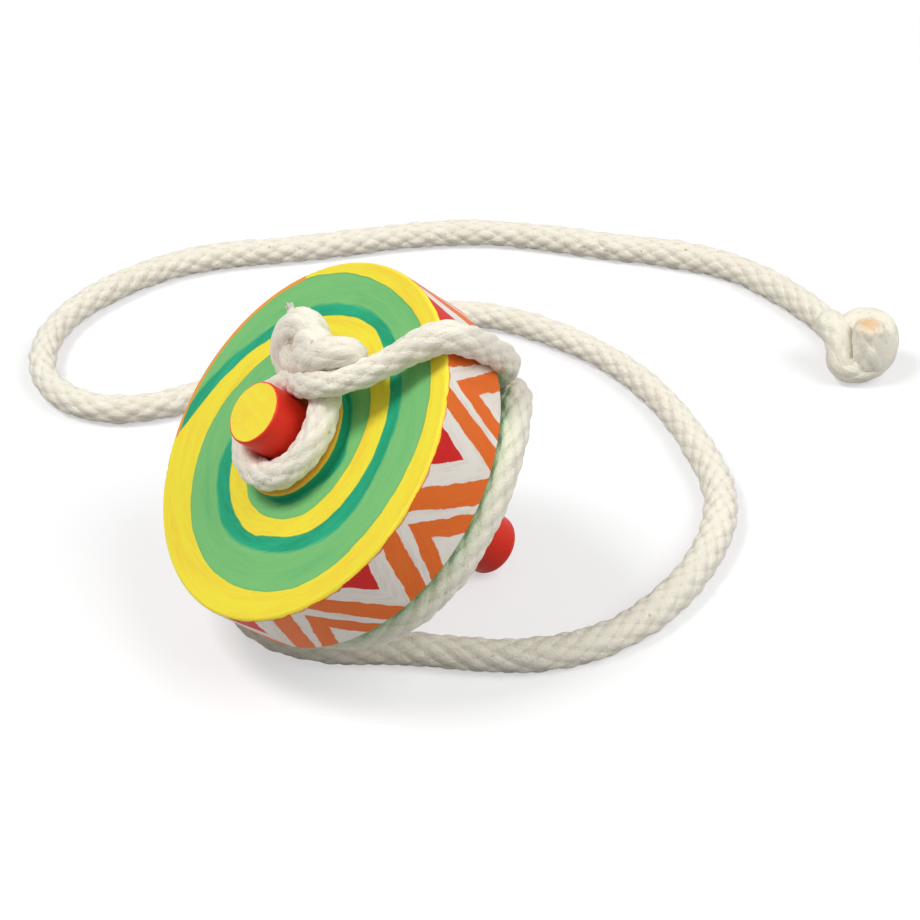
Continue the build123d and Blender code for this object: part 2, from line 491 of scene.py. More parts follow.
# ---- the paint on the disc ------------------------------------------------------------------------
@dataclass(frozen=True)
class SpiralFace:
    """Three brushed bands that wind in to the hub: leaf green, teal and yellow.

    Each edge is a list of (angle, radius).  An angle of 0 is at the right on the outermost turn,
    and each turn inwards takes off another 360 degrees.
    """

    first_angle: float = -900.0
    last_angle: float = 180.0
    radius_scale: float = 40.0
    yellow_inside: tuple[tuple[float, float], ...] = (
        (-900, 6.0), (-780, 7.5), (-660, 9.0), (-540, 11.0), (-480, 12.9), (-465, 13.8),
        (-450, 14.8), (-420, 15.6), (-390, 16.2), (-360, 15.8), (-335, 16.0), (-315, 16.9),
        (-290, 17.6), (-240, 20.0), (-197, 22.3), (-180, 23.2), (-163, 24.8), (-140, 26.4),
        (-120, 27.5), (-90, 28.6), (-60, 29.3), (-30, 30.3), (0, 29.95), (30, 30.6), (60, 31.3),
        (100, 31.5), (120, 32.5), (140, 33.8), (180, 37.0),
    )
    yellow_outside: tuple[tuple[float, float], ...] = (
        (-900, 8.0), (-780, 10.0), (-720, 10.6), (-630, 11.4), (-540, 14.6), (-497, 16.7),
        (-480, 17.4), (-450, 18.6), (-430, 19.3), (-420, 19.0), (-400, 19.8), (-385, 20.4),
        (-350, 20.5), (-320, 21.2), (-278, 22.9), (-262, 24.0), (-240, 24.1), (-225, 24.5),
        (-197, 25.7), (-190, 26.6), (-180, 27.6), (-165, 29.9), (-155, 31.9), (-147, 34.6),
        (-135, 38.5), (180, 39.5),
    )
    teal_outside: tuple[tuple[float, float], ...] = (
        (-900, 8.5), (-810, 11.6), (-780, 12.7), (-760, 13.0), (-735, 12.7), (-705, 13.9),
        (-690, 12.9), (-650, 12.9), (-600, 14.2), (-540, 16.2), (-505, 18.9), (-490, 20.4),
        (-470, 21.2), (-450, 22.0), (-420, 22.0), (-400, 22.8), (-370, 24.2), (-345, 23.3),
        (-315, 24.2), (-270, 25.9), (-240, 26.6), (-200, 28.0), (-180, 30.3), (-165, 32.8),
        (-153, 35.2), (-140, 38.5), (180, 39.5),
    )
    sliver_radius: float = 33.85
    sliver_from: float = 142.0
    sliver_to: float = 212.0

    def _edge(self, graph: Graph, angle: Wire, points: Sequence[tuple[float, float]]) -> Wire:
        """One edge's radius at an unwound angle, in millimetres."""
        span = self.last_angle - self.first_angle
        along = (angle - self.first_angle) * (1.0 / span)
        scaled = [((a - self.first_angle) / span, r / self.radius_scale) for a, r in points]
        return graph.curve(along, scaled) * self.radius_scale

    def bands(self, graph: Graph, angle: Wire, radius: Wire) -> tuple[Wire, Wire]:
        """How deep a point lies in the yellow band and in the teal band, in millimetres.

        Args:
            graph: the material's graph.
            angle: the point's angle in degrees.
            radius: its radius in millimetres.

        Returns:
            The two depths, below zero outside the band.
        """
        yellow: Optional[Wire] = None
        teal: Optional[Wire] = None
        for turn in range(3):
            unwound = angle - 360.0 * turn
            inner, outer, far = (
                self._edge(graph, unwound, points)
                for points in (self.yellow_inside, self.yellow_outside, self.teal_outside)
            )
            in_yellow = (radius - inner).least(outer - radius)
            in_teal = (radius - outer + 1.0).least(far - radius)
            yellow = in_yellow if yellow is None else yellow.most(in_yellow)
            teal = in_teal if teal is None else teal.most(in_teal)
        return yellow, teal

    def sliver(self, angle: Wire, radius: Wire) -> Wire:
        """How deep a point lies in the orange that runs over the upper left of the edge."""
        middle = (self.sliver_from + self.sliver_to) / 2
        half = (self.sliver_to - self.sliver_from) / 2
        away = (angle - middle + 540.0).math("FLOORED_MODULO", 360.0) - 180.0
        inside = (-away.math("ABSOLUTE") + half) * 0.25
        return inside.least(radius - self.sliver_radius)


@dataclass(frozen=True)
class ZigzagLine:
    """One line of the rim's zigzag: its distance from a valley at a depth, and how it narrows."""

    distance: float
    depth: float
    slope: float

    def inside(self, away: Wire, height: Wire) -> Wire:
        """How far a point lies on the valley's side of the line, in millimetres."""
        return (height + self.depth) * self.slope + self.distance - away


@dataclass(frozen=True)
class ZigzagRim:
    """Orange zigzags round the rim, white between them and red triangles in the valleys."""

    turning_points: tuple[float, ...] = (
        -193.0, -170.5, -148.5, -126.5, -104.0, -81.5, -59.5, -36.0, -14.3, 6.9, 30.8, 52.0,
        78.0, 100.5, 122.5, 145.0, 167.0, 189.0, 211.5,
    )
    repeats: int = 8
    rim_radius: float = TopShape.disc_radius / MM
    red: ZigzagLine = ZigzagLine(3.54, 0.5, 0.529)
    valley_white: ZigzagLine = ZigzagLine(7.57, 0.5, 0.489)
    first_orange: ZigzagLine = ZigzagLine(11.85, 0.5, 0.464)
    thin_white: ZigzagLine = ZigzagLine(13.75, 2.0, 0.559)
    second_orange: ZigzagLine = ZigzagLine(13.75, 8.6, 0.553)

    def away_from_valley(self, graph: Graph, angle: Wire) -> Wire:
        """How far round the rim the nearest valley is, in millimetres."""
        first, last = self.turning_points[0], self.turning_points[-1]
        count = len(self.turning_points) - 1
        along = (angle - first) * (1.0 / (last - first))
        scaled = [
            ((turn - first) / (last - first), i / count)
            for i, turn in enumerate(self.turning_points)
        ]
        cell = graph.curve(along, scaled) * (count / 2)
        offset = (cell - cell.math("ROUND")).math("ABSOLUTE")
        return offset * (2 * math.pi * self.rim_radius / self.repeats)


@dataclass(frozen=True)
class DiscPaint:
    """The disc's hand-painted finish, over the face, the rim, the hub and the underside."""

    face: SpiralFace = SpiralFace()
    rim: ZigzagRim = ZigzagRim()
    thickness: float = TopShape.disc_depth / MM
    face_overlap: float = 0.42      # how far down the rim the face's paint comes
    smear_overlap: float = 0.6      # and the red smear beside it
    under_overlap: float = 0.3      # how far up the rim the underside's paint comes
    hub_paint_from: float = 1.6     # the height on the hub where its own paint starts
    teal_edge: HandEdge = HandEdge(0.35, 0.75)
    shade_edge: HandEdge = HandEdge(0.45, 0.25)
    yellow_edge: HandEdge = HandEdge(0.45, 0.16)
    sliver_edge: HandEdge = HandEdge(0.5, 0.2)
    zigzag_edge: HandEdge = HandEdge(1.1, 0.18)
    face_edge: HandEdge = HandEdge(0.9, 0.14)
    smear_edge: HandEdge = HandEdge(1.7, 0.14)
    plain_edge: HandEdge = HandEdge(0.5, 0.14)
    stroke_ring: float = 3.0        # how fast the face's strokes change round the disc
    zigzag_lean: float = -0.62
    roughness: float = 0.5
    relief: float = 0.00012

    def _face_colour(self, graph: Graph, groups: EffectGroups, at: Shading) -> tuple[Wire, Wire]:
        """The spiral's colour, and how thick its paint is."""
        turn = at["Angle"].math("RADIANS")
        ring = graph.vector(
            turn.math("COSINE") * self.stroke_ring, turn.math("SINE") * self.stroke_ring, 0.0
        )
        tone, relief = groups.strokes(graph, ring, at["Radius"])
        yellow, teal = self.face.bands(graph, at["Angle"], at["Radius"])
        leaf = graph.mix(tone.ramp(-0.5, 0.5) * 0.45, Paint.LEAF, Paint.GRASS)
        leaf = graph.mix(tone.ramp(0.05, 0.6) * 0.35, leaf, Paint.TEAL)
        deep = graph.mix(tone.ramp(-0.25, 0.35), Paint.TEAL, Paint.DEEP_TEAL)
        in_teal = groups.mask(graph, at, teal + tone * 0.9, self.teal_edge)
        colour = graph.mix(in_teal, leaf, deep)
        beside_yellow = groups.mask(graph, at, yellow + 0.22, self.shade_edge)
        colour = graph.mix(beside_yellow * 0.45, colour, Paint.GRASS)
        sunny = graph.mix(tone.ramp(-0.1, 0.6) * 0.5, Paint.YELLOW, Paint.AMBER)
        in_yellow = groups.mask(graph, at, yellow, self.yellow_edge)
        colour = graph.mix(in_yellow, colour, sunny)
        sliver = self.face.sliver(at["Angle"], at["Radius"])
        colour = graph.mix(groups.mask(graph, at, sliver, self.sliver_edge), colour, Paint.AMBER)
        thick = in_yellow * 0.5 + in_teal * 0.25 + relief * 0.35
        return colour, thick

    def _rim_colour(self, graph: Graph, groups: EffectGroups, at: Shading) -> tuple[Wire, Wire]:
        """The zigzag's colour, and how thick its paint is."""
        away = self.rim.away_from_valley(graph, at["Angle"])
        lean = away + at["Height"] * self.zigzag_lean
        down = graph.vector(at["Height"] * 0.22, at["Angle"] * 0.02, 0.0)
        tone, relief = groups.strokes(graph, down, lean * 1.3)
        white = graph.mix(tone.ramp(-0.02, 0.42) * 0.75, Paint.WHITE, Paint.SMEARED_WHITE)
        orange = graph.mix(tone.ramp(-0.3, 0.4) * 0.3, Paint.ORANGE, Paint.SCARLET)
        red = graph.mix(tone.ramp(-0.3, 0.4) * 0.25, Paint.RED, Paint.SCARLET)
        colour = white
        thick = relief * 0.45
        layers = (
            (self.rim.second_orange, orange), (self.rim.thin_white, white),
            (self.rim.first_orange, orange), (self.rim.valley_white, white), (self.rim.red, red),
        )
        for line, paint in layers:
            inside = line.inside(away, at["Height"])
            mask = groups.mask(graph, at, inside, self.zigzag_edge)
            colour = graph.mix(mask, colour, paint)
            thick = thick + mask * 0.3
        return colour, thick

    def material(self, groups: EffectGroups) -> bpy.types.Material:
        """Builds the finish.

        Args:
            groups: the shared shader node groups.

        Returns:
            The material.
        """
        material, graph, shader = new_material("painted_disc")
        at = groups.whereabouts(graph)
        face, face_thick = self._face_colour(graph, groups, at)
        rim, rim_thick = self._rim_colour(graph, groups, at)
        height = at["Height"]
        on_face = groups.mask(graph, at, height + self.face_overlap, self.face_edge)
        hub_wall = height.ramp(0.03, 0.12)
        hub_top = groups.mask(graph, at, height - self.hub_paint_from, self.plain_edge)
        below = -height - (self.thickness - self.under_overlap)
        under = groups.mask(graph, at, below, self.plain_edge)
        smear = groups.mask(graph, at, height + self.smear_overlap, self.smear_edge)
        colour = graph.mix(smear * 0.8, rim, Paint.SCARLET)
        colour = graph.mix(on_face, colour, face)
        colour = graph.mix(hub_wall, colour, Paint.DEEP_TEAL)
        # painted shade: the hub's top is yellow paint, coloured darker to stand for the cord's
        # shadow on it
        colour = graph.mix(hub_top, colour, Paint.SHADED_YELLOW)
        colour = graph.mix(under, colour, Paint.LEAF)
        thick = rim_thick + (face_thick - rim_thick) * on_face
        coat(graph, shader, colour, thick, self.relief,
             Roughness=self.roughness, Specular_IOR_Level=0.15)
        return material


@dataclass(frozen=True)
class SpindlePaint:
    """Red paint on the dowel, with yellow on the end of the stem."""

    stem_end: float = TopShape.stem_height / MM
    end_depth: float = 0.2          # how far down the wall the end's yellow comes
    end_radius: float = 5.65
    end_edge: HandEdge = HandEdge(0.35, 0.12)
    roughness: float = 0.42
    relief: float = 0.0001

    def material(self, groups: EffectGroups) -> bpy.types.Material:
        """Builds the finish from the shared shader node groups."""
        material, graph, shader = new_material("painted_spindle")
        at = groups.whereabouts(graph)
        down = graph.vector(at["Height"] * 0.12, at["Angle"] * 0.004, 0.0)
        tone, relief = groups.strokes(graph, down, at["Angle"] * 0.1)
        split = graph.node("SeparateXYZ", Vector=at["Place"])
        flat = graph.vector(graph.wire(split, 0) * 0.3, 0.0, 0.0)
        flat_tone, flat_relief = groups.strokes(graph, flat, graph.wire(split, 1))
        red = graph.mix(tone.ramp(-0.3, 0.4) * 0.5, Paint.SCARLET, Paint.RED)
        yellow = graph.mix(flat_tone.ramp(-0.2, 0.6) * 0.4, Paint.YELLOW, Paint.AMBER)
        above = at["Height"] - (self.stem_end - self.end_depth)
        depth = above.least(-at["Radius"] + self.end_radius)
        mask = groups.mask(graph, at, depth, self.end_edge)
        thick = (relief + (flat_relief - relief) * mask) * 0.5 + mask * 0.3
        coat(graph, shader, graph.mix(mask, red, yellow), thick, self.relief,
             Roughness=self.roughness, Specular_IOR_Level=0.2)
        return material


@dataclass(frozen=True)
class CottonFinish:
    """Undyed braided cotton, a little green near the disc's painted underside: paint rubbed off it,
    and painted green light thrown back from it.
    """

    name: str = "braided_cotton"
    rub_and_bounce_from: float = -19.4
    rub_and_bounce_to: float = -15.3
    rub_and_bounce_below: float = -14.0     # fully green from this height down to the one listed before it
    clean_above: float = -13.0
    rub_and_bounce_radius: float = 38.0
    rub_and_bounce_fade: float = 4.0        # how far the green fades out inside that radius
    rub_and_bounce_strength: float = 0.5
    relief: float = 0.00035
    singed_centre: Optional[Vector] = None
    singed_radius: float = 0.0038
    mottle_scale: float = 1300.0    # per metre
    # how much the painted shade in the cord's hollows is lessened
    lighter_hollows: float = 0.0

    def material(self, groups: EffectGroups) -> bpy.types.Material:
        """Builds the finish from the shared shader node groups."""
        material, graph, shader = new_material(self.name)
        yarn = graph.wire(graph.node("Attribute", {"attribute_name": "yarn"}), "Vector")
        loft = graph.wire(graph.node("Attribute", {"attribute_name": "loft"}), "Fac")
        weave = graph.use(groups.cotton_weave, Yarn=yarn, Loft=loft + self.lighter_hollows)
        at = groups.whereabouts(graph)
        height, radius = at["Height"], at["Radius"]
        # green near the underside: partly paint rubbed off it, partly painted green light thrown
        # back from it
        rub_and_bounce = height.ramp(self.rub_and_bounce_from, self.rub_and_bounce_to)
        rub_and_bounce = rub_and_bounce * (-height).ramp(-self.clean_above, -self.rub_and_bounce_below)
        inside = (-radius).ramp(-self.rub_and_bounce_radius, self.rub_and_bounce_fade - self.rub_and_bounce_radius)
        rub_and_bounce = rub_and_bounce * inside * self.rub_and_bounce_strength
        colour = graph.mix(rub_and_bounce, graph.wire(weave, "Color"), Paint.LEAF)
        if self.singed_centre is not None:
            own = graph.wire(graph.node("TexCoord"), "Object")
            away = graph.node("VectorMath", {"operation": "DISTANCE"})
            graph.feed(away.inputs[0], own)
            away.inputs[1].default_value = self.singed_centre
            near = -graph.wire(away, "Value") * (1.0 / self.singed_radius) + 1.0
            mottled = graph.noise(own, self.mottle_scale, 3.0, 0.7)
            near = (near + mottled * 1.1).ramp(0.0, 0.8)
            colour = graph.mix(near * (mottled * 1.4 + 0.95), colour, Paint.SINGED)
        coat(graph, shader, colour, graph.wire(weave, "Relief"), self.relief,
             Roughness=0.95, Specular_IOR_Level=0.1, Sheen_Weight=0.3, Sheen_Roughness=0.6,
             Subsurface_Weight=0.2, Subsurface_Radius=(1.0, 0.9, 0.75), Subsurface_Scale=0.0012)
        return material


# ---- braided cord ---------------------------------------------------------------------------------
@dataclass(frozen=True)
class Braid:
    """How the cord is plaited, and how fine its mesh is."""

    carriers: int = 6           # yarns that wind each way
    float_length: float = 0.0055
    steps: int = 6              # mesh cells across one float
    radius: float = 0.0030
    relief: float = 0.0006
    squareness: float = 0.35    # share of a float's height that stays where it dips under
    dome_rows: int = 5          # rings that round off each end
    start_dome: float = 0.8     # how far the first end bulges, from 0 to 1
    mean_loft: float = 0.62     # the height of yarn that lies at the cord's mean radius
    hairs_across: float = 7.0   # how fine the cotton's hairs are across a yarn
    hairs_along: float = 1.6    # and along it
    least_plump: float = 0.85   # a float's height, as a share of the usual one
    plump_range: float = 0.3
    yarn_apart: float = 3.7     # sets one yarn's hairs apart from the next one's
    cross_apart: float = 5.3    # and those of the yarns that wind the other way
    cross_start: float = 40.0

    @property
    def row_length(self) -> float:
        """From one ring of the mesh to the next."""
        return self.float_length / (2 * self.steps)

    @property
    def columns(self) -> int:
        """Corners in each ring of the mesh."""
        return self.carriers * self.steps


def smooth_line(points: Sequence[Vector], name: str) -> np.ndarray:
    """The smooth line that a cord follows along its route.

    Args:
        points: the route's points.
        name: a name for the curve while it is made.

    Returns:
        Points close together along the NURBS spline of the route.
    """
    curve = bpy.data.curves.new(name, "CURVE")
    curve.dimensions = "3D"
    spline = curve.splines.new("NURBS")
    spline.points.add(len(points) - 1)
    for spot, point in zip(spline.points, points):
        spot.co = (*point, 1.0)
    spline.order_u = 3
    spline.use_endpoint_u = True
    spline.resolution_u = 16
    holder = bpy.data.objects.new(name, curve)
    mesh = bpy.data.meshes.new_from_object(holder)
    line = np.array([v.co for v in mesh.vertices], float)
    bpy.data.objects.remove(holder)
    bpy.data.curves.remove(curve)
    bpy.data.meshes.remove(mesh)
    return line


def line_length(line: np.ndarray) -> float:
    """How long a line is."""
    return float(np.linalg.norm(np.diff(line, axis=0), axis=1).sum())


def spaced_line(line: np.ndarray, step: float) -> np.ndarray:
    """The same line with its points an even step apart."""
    lengths = np.linalg.norm(np.diff(line, axis=0), axis=1)
    along = np.concatenate([[0.0], np.cumsum(lengths)])
    at = np.arange(0.0, along[-1], step)
    return np.stack([np.interp(at, along, line[:, k]) for k in range(3)], axis=1)


def carried_frames(line: np.ndarray) -> tuple[np.ndarray, np.ndarray, np.ndarray]:
    """Axes that follow a line without twisting.

    Args:
        line: points an even step apart.

    Returns:
        The line's direction at each point, and two directions across it.
    """
    ways = np.gradient(line, axis=0)
    ways /= np.linalg.norm(ways, axis=1)[:, None]
    side = np.cross(ways[0], (0.0, 0.0, 1.0))
    if np.linalg.norm(side) < 0.1:
        side = np.cross(ways[0], (0.0, 1.0, 0.0))
    side /= np.linalg.norm(side)
    sides = np.empty_like(line)
    for i, way in enumerate(ways):
        side = side - way * side.dot(way)
        side /= np.linalg.norm(side)
        sides[i] = side
    return ways, sides, np.cross(ways, sides)


def cell_chance(first: np.ndarray, second: np.ndarray, salt: float) -> np.ndarray:
    """A steady number between 0 and 1 for each pair of whole numbers."""
    mixed = np.sin(first * 12.9898 + second * 78.233 + salt) * 43758.5453
    return mixed - np.floor(mixed)


class BraidedMesh:
    """The surface of plaited cord along a line, with each float of yarn standing proud."""

    def __init__(self, braid: Braid, line: np.ndarray, salt: float = 0.0) -> None:
        self.braid = braid
        self.line = spaced_line(line, braid.row_length)
        self.salt = salt
        self.points = np.empty((0, 3))
        self.loft = np.empty(0)
        self.faces: list[tuple[int, ...]] = []
        self.yarn = np.empty((0, 3))

    def _heights(self, first: np.ndarray, second: np.ndarray) -> np.ndarray:
        """How high the top yarn stands where the two windings have these counts."""
        count = self.braid.carriers
        keep = self.braid.squareness

        def yarn(across: np.ndarray, along: np.ndarray, start: float) -> np.ndarray:
            """One winding's height: round across, over and under along."""
            band = np.floor(across + 1e-6)
            middle = across - band - 0.5
            dome = np.sqrt(np.clip(1.0 - 4.0 * middle**2, 0.0, 1.0))
            wave = np.cos(math.pi * (along - band - 0.5 - start))
            chance = cell_chance(band % count, np.floor(along / 2), self.salt + start)
            plump = self.braid.least_plump + self.braid.plump_range * chance
            return dome * (keep + (1.0 - keep) * wave) * plump

        return np.maximum(0.0, np.maximum(yarn(first, second, 0.0), yarn(second, first, 1.0)))

    def build(self, radius_at: Callable[[np.ndarray], np.ndarray], end_dome: float = 0.8
              ) -> "BraidedMesh":
        """Makes the mesh's points and faces.

        Args:
            radius_at: the cord's mean radius at distances from its start.
            end_dome: how far the last end bulges, from 0 for a clean cut to 1 for a ball.

        Returns:
            The mesh itself.
        """
        braid, columns = self.braid, self.braid.columns
        ways, sides, tops = carried_frames(self.line)
        radius = radius_at(np.arange(len(self.line)) * braid.row_length)
        lean = np.radians(np.arange(braid.dome_rows, 0, -1) * 90.0 / (braid.dome_rows + 1))
        first = self.line[0] - np.outer(np.sin(lean) * radius[0] * braid.start_dome, ways[0])
        last = self.line[-1] + np.outer(np.sin(lean[::-1]) * radius[-1] * end_dome, ways[-1])
        line = np.concatenate([first, self.line, last])
        radius = np.concatenate([
            radius[0] * np.cos(lean), radius, radius[-1] * np.cos(lean[::-1])
        ])
        extra = (braid.dome_rows, braid.dome_rows)
        sides, tops = (np.pad(way, (extra, (0, 0)), mode="edge") for way in (sides, tops))
        rows = len(line)
        row = np.arange(rows)
        along = row * braid.row_length
        wander = 0.35 * np.sin(along * 61.0 + self.salt) + 0.25 * np.sin(along * 143.0 + 2.0)
        column = np.arange(columns)[None, :] + 0.5 * (row % 2)[:, None]
        first_count = (2.0 * column + row[:, None]) / (2 * braid.steps)
        second_count = (2.0 * column - row[:, None]) / (2 * braid.steps)
        loft = self._heights(first_count, second_count)
        uneven = 1.0 + 0.02 * np.sin(along * 230.0 + self.salt) + 0.015 * np.sin(along * 517.0)
        whole = np.clip(radius / braid.radius, 0.0, 1.0)[:, None]
        reach = (radius * uneven)[:, None] + braid.relief * (loft - braid.mean_loft) * whole
        angle = 2 * math.pi * column / columns + wander[:, None]
        across = sides[:, None, :] * np.cos(angle)[..., None]
        across = across + tops[:, None, :] * np.sin(angle)[..., None]
        rings = line[:, None, :] + across * reach[..., None]
        poles = np.stack([
            self.line[0] - ways[0] * radius[braid.dome_rows] * braid.start_dome,
            self.line[-1] + ways[-1] * radius[-1 - braid.dome_rows] * end_dome,
        ])
        self.points = np.concatenate([rings.reshape(-1, 3), poles])
        self.loft = np.concatenate([loft.ravel(), [0.5, 0.5]])
        self._weave_faces(rows, columns)
        return self

    def _weave_faces(self, rows: int, columns: int) -> None:
        """Joins the rings with diamonds that lie along the yarns, and closes both ends."""
        steps = self.braid.steps
        fine, coarse = self.braid.hairs_across, self.braid.hairs_along
        yarn: list[tuple[float, float, float]] = []

        def corner(row: int, column: int) -> int:
            """The number of a corner of the mesh."""
            return row * columns + column % columns

        for row in range(1, rows - 1):
            odd = row % 2
            for column in range(columns):
                middle = column + odd
                self.faces.append((
                    corner(row, column), corner(row - 1, middle),
                    corner(row, column + 1), corner(row + 1, middle),
                ))
                total = 2 * column + odd
                low, high = (total + row) // 2, (total - row) // 2
                band, cross = low // steps, high // steps
                over = (band + cross) % 2 == 0
                for step_low, step_high in ((0, 0), (0, 1), (1, 1), (1, 0)):
                    one, two = (low + step_low) / steps, (high + step_high) / steps
                    if over:
                        own = band * self.braid.yarn_apart
                        yarn.append(((one - band) * fine, two * coarse, own))
                    else:
                        own = cross * self.braid.cross_apart + self.braid.cross_start
                        yarn.append(((two - cross) * fine, one * coarse, own))
        last = len(self.points) - 1
        for row, side, pole in ((0, 1, last - 1), (rows - 1, rows - 2, last)):
            odd = row % 2
            for column in range(columns):
                middle = column + odd
                low, high = corner(row, column), corner(row, column + 1)
                beside = corner(side, middle)
                if row == 0:
                    triangles = ((low, high, beside), (high, low, pole))
                else:
                    triangles = ((high, low, beside), (low, high, pole))
                for triangle in triangles:
                    self.faces.append(triangle)
                    yarn.extend([(0.0, 0.0, 0.0)] * 3)
        self.yarn = np.array(yarn)


def shown_mesh(name: str, parts: Sequence[BraidedMesh], axes: TopAxes,
               finish: bpy.types.Material) -> bpy.types.Object:
    """One piece from one or more braided surfaces, laid against the wood and the floor.

    Args:
        name: the piece's name.
        parts: its surfaces.
        axes: how the top lies.
        finish: the piece's material.

    Returns:
        The piece.
    """
    faces: list[tuple[int, ...]] = []
    start = 0
    for part in parts:
        faces.extend(tuple(start + i for i in face) for face in part.faces)
        start += len(part.points)
    points = TopShape().press_out(np.concatenate([part.points for part in parts]), axes)
    mesh = bpy.data.meshes.new(name)
    mesh.from_pydata(points.tolist(), [], faces)
    mesh.attributes.new("loft", "FLOAT", "POINT").data.foreach_set(
        "value", np.concatenate([part.loft for part in parts]).astype(np.float32)
    )
    mesh.attributes.new("yarn", "FLOAT_VECTOR", "CORNER").data.foreach_set(
        "vector", np.concatenate([part.yarn for part in parts]).astype(np.float32).ravel()
    )
    mesh.shade_smooth()
    mesh.materials.append(finish)
    piece = bpy.data.objects.new(name, mesh)
    bpy.context.scene.collection.objects.link(piece)
    return piece


@dataclass(frozen=True)
class CordRoute:
    """The cord's way: round the stem, over the rim, wound under the disc and along the floor."""

    head: tuple[Point, ...] = (
        (0.0008, 0.0132, 0.0052), (0.0043, 0.0108, 0.0052), (0.0073, 0.0079, 0.0051),
        (0.0094, 0.0044, 0.0050), (0.0100, -0.0001, 0.0049), (0.0086, -0.0050, 0.0048),
        (0.0046, -0.0083, 0.0047), (-0.0003, -0.0089, 0.0047), (-0.0046, -0.0074, 0.0048),
        (-0.0073, -0.0045, 0.0048), (-0.0085, -0.0003, 0.0048), (-0.0078, 0.0035, 0.0048),
        (-0.0055, 0.0065, 0.0052), (-0.0019, 0.0081, 0.0063), (0.0023, 0.0092, 0.0086),
        (0.0062, 0.0110, 0.0098), (0.0097, 0.0149, 0.0080), (0.0123, 0.0212, 0.0054),
        (0.0146, 0.0275, 0.0040), (0.0170, 0.0321, 0.0030), (0.0180, 0.0339, -0.0006),
        (0.0165, 0.0342, -0.0060), (0.0147, 0.0345, -0.0118), (0.0135, 0.0338, -0.0167),
        (0.0113, 0.0312, -0.0186), (0.0083, 0.0272, -0.0185), (0.0052, 0.0230, -0.0185),
        (-0.0012, 0.0143, -0.0184),
    )
    coil_start: float = 144.4
    coil_radius: float = 0.0093
    coil_pitch: float = 0.0064
    coil_turns: int = 2
    coil_steps: int = 16        # points of the route in each turn
    coil_out: float = -0.0184
    hump: float = 0.0063        # how high a turn passes over the cord's first stretch
    hump_reach: float = 0.011
    loose_turn: tuple[Point, ...] = (
        (144.4, 0.0221, -0.0184), (171, 0.0246, -0.0184), (200, 0.0258, -0.0184),
        (230, 0.0270, -0.0184), (259, 0.0280, -0.0184), (287, 0.0294, -0.0184),
        (314, 0.0320, -0.0184), (338, 0.0340, -0.0184), (0, 0.0342, -0.0184),
        (20, 0.0340, -0.0183), (37, 0.0340, -0.0183), (49, 0.0344, -0.0189),
        (58, 0.0338, -0.0207), (66, 0.0324, -0.0233), (75, 0.0300, -0.0250),
        (86, 0.0280, -0.0252), (98, 0.0273, -0.0234), (112, 0.0276, -0.0204),
        (132, 0.0289, -0.0184),
        (161, 0.0310, -0.0184), (187, 0.0330, -0.0184), (213, 0.0350, -0.0184),
        (235, 0.0364, -0.0184), (251, 0.0367, -0.0184),
    )
    floor: tuple[tuple[float, float], ...] = (
        (-0.0177, -0.0043), (-0.0129, -0.0097), (-0.0061, -0.0134), (0.0018, -0.0147),
        (0.0106, -0.0142), (0.0198, -0.0155), (0.0296, -0.0169), (0.0386, -0.0163),
        (0.0471, -0.0134), (0.0553, -0.0078), (0.0631, 0.0013), (0.0694, 0.0123),
        (0.0738, 0.0246), (0.0746, 0.0370), (0.0718, 0.0492), (0.0678, 0.0621),
        (0.0621, 0.0743), (0.0547, 0.0847), (0.0454, 0.0931), (0.0353, 0.0999),
        (0.0260, 0.1032), (0.0170, 0.1026), (0.0073, 0.0976), (-0.0049, 0.0884),
        (-0.0189, 0.0783), (-0.0314, 0.0711), (-0.0407, 0.0662), (-0.0502, 0.0646),
        (-0.0594, 0.0682), (-0.0656, 0.0761), (-0.0675, 0.0863), (-0.0660, 0.0968),
        (-0.0614, 0.1066), (-0.0536, 0.1156), (-0.0433, 0.1239), (-0.0308, 0.1286),
        (-0.0176, 0.1305), (-0.0044, 0.1335), (0.0102, 0.1374), (0.0264, 0.1391),
        (0.0418, 0.1365), (0.0559, 0.1323), (0.0701, 0.1294), (0.0830, 0.1242),
        (0.0921, 0.1156), (0.0994, 0.1057), (0.1042, 0.0964),
    )
    tail_end: Point = (0.1066, 0.0902, 0.0044)
    floor_height: float = 0.003

    def _coil(self, axes: TopAxes) -> list[Vector]:
        """The two tight turns round the foot, which climb over the cord's first stretch."""
        turn_start = math.radians(self.coil_start)
        touch = self.coil_radius * Vector((math.cos(turn_start), math.sin(turn_start)))
        across = touch.normalized()
        places = []
        for step in range(self.coil_turns * self.coil_steps):
            turned = step / self.coil_steps
            angle = self.coil_start + 360.0 * turned
            radius = self.coil_radius + self.coil_pitch * turned
            spot = radius * Vector((math.cos(math.radians(angle)), math.sin(math.radians(angle))))
            away = (spot - touch).dot(across)
            before = touch.x * spot.y - touch.y * spot.x < 0
            lift = 0.0
            if turned > 0.5 and before and abs(away) < self.hump_reach:
                lift = self.hump * math.cos(math.pi * away / (2 * self.hump_reach)) ** 2
            places.append(axes.place((spot.x, spot.y, self.coil_out - lift)))
        return places

    def points(self, axes: TopAxes) -> list[Vector]:
        """The route's points from the knot beside the stem to the knot at the far end."""
        route = [axes.place(spot) for spot in self.head]
        route += self._coil(axes)
        route += [axes.around(*spot) for spot in self.loose_turn]
        route += [Vector((x, y, self.floor_height)) for x, y in self.floor]
        return route + [Vector(self.tail_end)]


